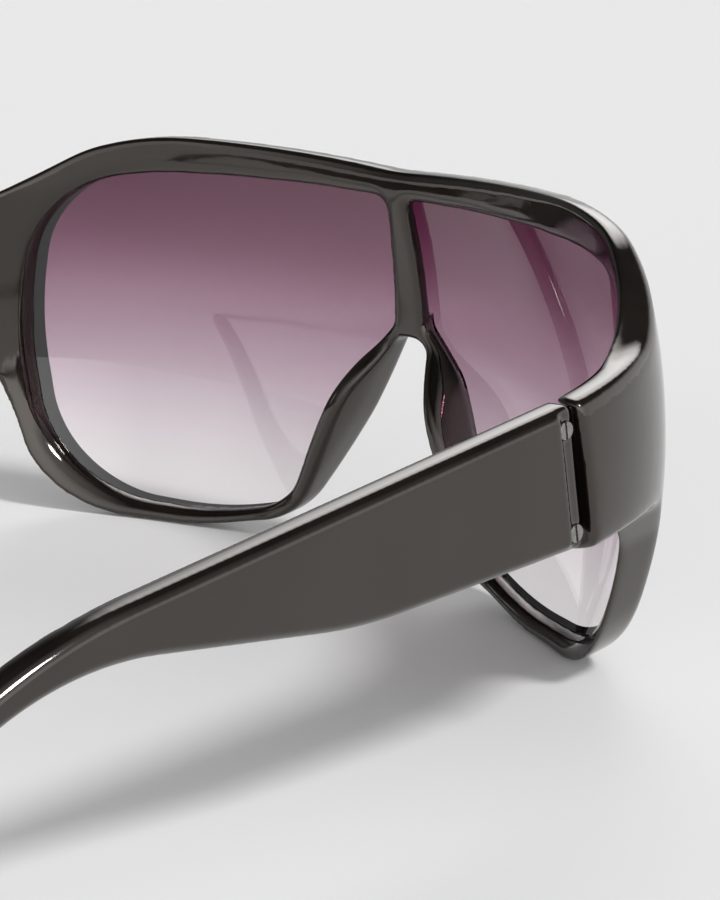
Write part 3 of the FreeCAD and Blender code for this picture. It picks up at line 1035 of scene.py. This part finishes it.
    def build(self) -> bpy.types.Object:
        """Make the screws of this set as one mesh.

        Returns:
            The piece with all of them.
        """
        seats = bpy.data.meshes.new(self.name + ".seats")
        seats.from_pydata([Vector(place) * MM for place in self.places], [], [])
        directions = {"way": self.ways, "slot_way": self.slot_ways}
        for title, rows in directions.items():
            attribute = seats.attributes.new(title, "FLOAT_VECTOR", "POINT")
            attribute.data.foreach_set("vector", np.array(rows, np.float32).ravel())
        holder = linked(self.name + ".seats", seats)
        modifier = holder.modifiers.new("setting", "NODES")
        modifier.node_group = self.tree()
        values = {title: size * MM for title, size in self.sizes().items()}
        values["Material"] = SCREW_STEEL.material()
        for item in modifier.node_group.interface.items_tree:
            if item.in_out == "INPUT" and item.name in values:
                modifier[item.identifier] = values[item.name]
        mesh = settled(holder)
        bpy.data.objects.remove(holder)
        for title in directions:
            mesh.attributes.remove(mesh.attributes[title])
        piece = linked(self.name, mesh)
        break_edges(piece, self.edge_break, self.least_angle)
        return piece

    def dress(self, piece: bpy.types.Object) -> None:
        """Give the screws their steel and their body."""
        dressed(piece, SCREW_STEEL, self.body, Slot.SCREW, self.nodes)


@dataclass
class HingeScrews:
    """All screws of both hinges, placed from the hinge axes.

    Offsets run outwards from an axis and places run backwards from it. Levels, the top and the bottom lie
    along it.
    """

    hinges: Hinges
    face_offset: float = 1.5
    leaf_thickness: float = 0.9
    strip_offset: float = 4.7
    screw_level: float = 5.9
    front_place: float = -5.4
    temple_place: float = 1.7
    front_length: float = 2.4
    axis_top: float = 4.5
    axis_bottom: float = -4.5
    head_radius: float = 1.0
    head_height: float = 0.5
    shank_radius: float = 0.6
    axis_head_radius: float = 1.1
    axis_radius: float = 0.7

    def sets(self) -> list[ScrewSet]:
        """Place every set of screws.

        Returns:
            The sets on the front, then one on each temple.
        """
        place = self.hinges.place
        upward = tuple(Vector(place(0, 0, 1)) - Vector(place(0, 0, 0)))
        levels = (-self.screw_level, self.screw_level)
        leaf_face = self.hinges.axis_x + self.face_offset - self.leaf_thickness
        strip_face = self.hinges.axis_x + self.strip_offset
        found = [ScrewSet(
            "front_leaf_fixings", "front", [f"front_leaf_screws_{side.word}" for side in Side],
            [place(side.value * leaf_face, self.front_place, level) for side in Side for level in levels],
            [(-side.value, 0, 0) for side in Side for _ in levels], [upward] * (len(Side) * len(levels)),
            head_radius=self.head_radius, neck_radius=self.shank_radius, head_height=self.head_height,
            shank_radius=self.shank_radius, length=self.front_length)]
        found.append(ScrewSet(
            "hinge_axis_pins", "front", [f"hinge_screw_{side.word}" for side in Side],
            [place(side.value * self.hinges.axis_x, 0, self.axis_top) for side in Side],
            [upward] * len(Side), [(1, 0, 0)] * len(Side),
            head_radius=self.axis_head_radius, neck_radius=self.axis_head_radius,
            head_height=self.head_height, shank_radius=self.axis_radius,
            length=self.axis_top - self.axis_bottom))
        for side in Side:
            found.append(ScrewSet(
                f"temple_leaf_fixings_{side.word}", "temple_" + side.word,
                [f"temple_leaf_screws_{side.word}"],
                [place(side.value * strip_face, self.temple_place, level) for level in levels],
                [(side.value, 0, 0)] * len(levels), [upward] * len(levels),
                head_radius=self.head_radius, neck_radius=self.head_radius, head_height=self.head_height,
                shank_radius=self.shank_radius, length=strip_face - leaf_face))
        return found


@dataclass
class Studio:
    """Pale floor, soft light and the camera at the photograph's angle.

    Angles are in degrees. Band levels are the height of a direction of length one, and dim levels are the
    cosine of its angle to the dim way. The centre drop and the picture height are in the picture's dots.
    """

    floor_half: float = 4000.0
    floor_cells: int = 4
    floor_colour: tuple[float, float, float] = (0.80, 0.80, 0.80)
    floor_roughness: float = 0.9
    band_levels: tuple[float, float] = (0.38, 0.60)
    band_light: float = 1.3
    dim_way: tuple[float, float, float] = (0.97, 0.24, 0.0)
    dim_levels: tuple[float, float] = (0.45, 0.85)
    dim_share: float = 0.15
    ceiling_light: float = 0.06
    panel_way: tuple[float, float, float] = (0.52, -0.60, 0.61)
    panel_angles: tuple[float, float] = (20.0, 8.0)
    panel_light: float = 4.2
    fill_way: tuple[float, float, float] = (-0.85, 0.35, 0.40)
    fill_angles: tuple[float, float] = (65.0, 20.0)
    fill_light: float = 1.1
    backdrop_light: float = 0.81
    key_way: tuple[float, float, float] = (-0.646, -0.076, 0.760)
    key_strength: float = 1.80
    key_width: float = 12.0
    camera_place: tuple[float, float, float] = (-268.9, 182.15, 109.44)
    camera_target: tuple[float, float, float] = (11.16, -74.75, 12.59)
    focal_length: float = 112.4
    sensor: float = 36.0
    centre_drop: float = 4.0
    picture_height: float = 900.0
    camera_reach: tuple[float, float] = (10.0, 50000.0)

    def floor(self) -> None:
        """Lay the plain floor."""
        mesh = bpy.data.meshes.new("studio_floor")
        body = bmesh.new()
        cells = self.floor_cells
        bmesh.ops.create_grid(body, x_segments=cells, y_segments=cells, size=self.floor_half * MM)
        body.to_mesh(mesh)
        body.free()
        floor = linked("studio_floor", mesh)
        material = bpy.data.materials.new("pale_floor")
        material.use_nodes = True
        shader = material.node_tree.nodes["Principled BSDF"]
        shader.inputs["Base Color"].default_value = (*self.floor_colour, 1.0)
        shader.inputs["Roughness"].default_value = self.floor_roughness
        shader.inputs["Specular IOR Level"].default_value = 0.0
        mesh.materials.append(material)
        floor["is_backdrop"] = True

    @staticmethod
    def facing(tree: Tree, way: bpy.types.NodeSocket,
               aim: tuple[float, float, float]) -> bpy.types.NodeSocket:
        """How far the looked-at direction agrees with an aim, up to 1.

        Args:
            tree: The world's tree.
            way: The looked-at direction.
            aim: The direction to compare with.

        Returns:
            The cosine of the angle between the two.
        """
        node = tree.add("ShaderNodeVectorMath", {1: Vector(aim).normalized()}, operation="DOT_PRODUCT")
        tree.join(way, node.inputs[0])
        return node.outputs["Value"]

    def world(self) -> None:
        """Light the room with a band round the horizon, dimmed on one side, and two soft panels above."""
        world = bpy.data.worlds.new("studio_room")
        bpy.context.scene.world = world
        world.use_nodes = True
        tree = Tree(world.node_tree)
        way = tree.add("ShaderNodeTexCoord").outputs["Generated"]
        split = tree.add("ShaderNodeSeparateXYZ")
        tree.join(way, split.inputs["Vector"])
        band = tree.ramp(split.outputs["Z"], self.band_levels, (self.band_light, self.ceiling_light))
        dim = tree.ramp(self.facing(tree, way, self.dim_way), self.dim_levels, (1.0, self.dim_share))
        light = tree.times(band, dim)
        for aim, angles, strength in ((self.panel_way, self.panel_angles, self.panel_light),
                                      (self.fill_way, self.fill_angles, self.fill_light)):
            edge, core = (math.cos(math.radians(angle)) for angle in angles)
            light = tree.plus(light, tree.ramp(self.facing(tree, way, aim), (edge, core), (0.0, strength)))
        room = tree.add("ShaderNodeBackground")
        tree.join(light, room.inputs["Strength"])
        white = {"Color": (1.0, 1.0, 1.0, 1.0), "Strength": self.backdrop_light}
        backdrop = tree.add("ShaderNodeBackground", white)
        seen = tree.add("ShaderNodeMixShader")
        tree.join(tree.add("ShaderNodeLightPath").outputs["Is Camera Ray"], seen.inputs["Fac"])
        tree.join(room.outputs["Background"], seen.inputs[1])
        tree.join(backdrop.outputs["Background"], seen.inputs[2])
        output = tree.add("ShaderNodeOutputWorld")
        tree.join(seen.outputs["Shader"], output.inputs["Surface"])

    def key_lamp(self) -> None:
        """Hang the soft key lamp far off, so that it lights the floor evenly."""
        data = bpy.data.lights.new("key_lamp", "SUN")
        data.energy = self.key_strength
        data.angle = math.radians(self.key_width)
        lamp = bpy.data.objects.new("key_lamp", data)
        lamp.rotation_euler = (-Vector(self.key_way)).to_track_quat("-Z", "Y").to_euler()
        bpy.context.scene.collection.objects.link(lamp)

    def camera(self) -> None:
        """Set the camera at the photograph's angle."""
        data = bpy.data.cameras.new("photo_camera")
        data.sensor_fit = "VERTICAL"
        data.sensor_height = self.sensor
        data.lens = self.focal_length
        data.shift_y = self.centre_drop / self.picture_height
        data.clip_start, data.clip_end = (reach * MM for reach in self.camera_reach)
        camera = bpy.data.objects.new("photo_camera", data)
        place = Vector(self.camera_place) * MM
        camera.location = place
        look = Vector(self.camera_target) * MM - place
        camera.rotation_euler = look.to_track_quat("-Z", "Y").to_euler()
        bpy.context.scene.collection.objects.link(camera)
        bpy.context.scene.camera = camera

    def build(self) -> None:
        """Set up the floor, the light and the camera."""
        bpy.context.scene.view_settings.view_transform = "Standard"
        self.floor()
        self.world()
        self.key_lamp()
        self.camera()


def corners(box: tuple[Vector, Vector]) -> list[list[float]]:
    """A box as plain lists of numbers."""
    return [list(corner) for corner in box]


def main() -> None:
    """Build every piece in order."""
    logging.basicConfig(level=logging.INFO, format="%(message)s")
    cad_box = corners(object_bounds())
    hinges = Hinges.packed()
    skin = WrapSkin(hinges)
    works: list[FrontFrame | ShieldLens | TempleArm | HingeLeaves | ScrewSet] = []
    works += [FrontFrame(skin), ShieldLens(skin)]
    works += [TempleArm(side) for side in Side]
    works += [HingeLeaves(side) for side in Side]
    works += HingeScrews(hinges).sets()
    for work in works:
        work.dress(work.build())
    Studio().build()
    {"cad": cad_box, "visual": corners(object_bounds())}


if __name__ == "__main__":
    main()
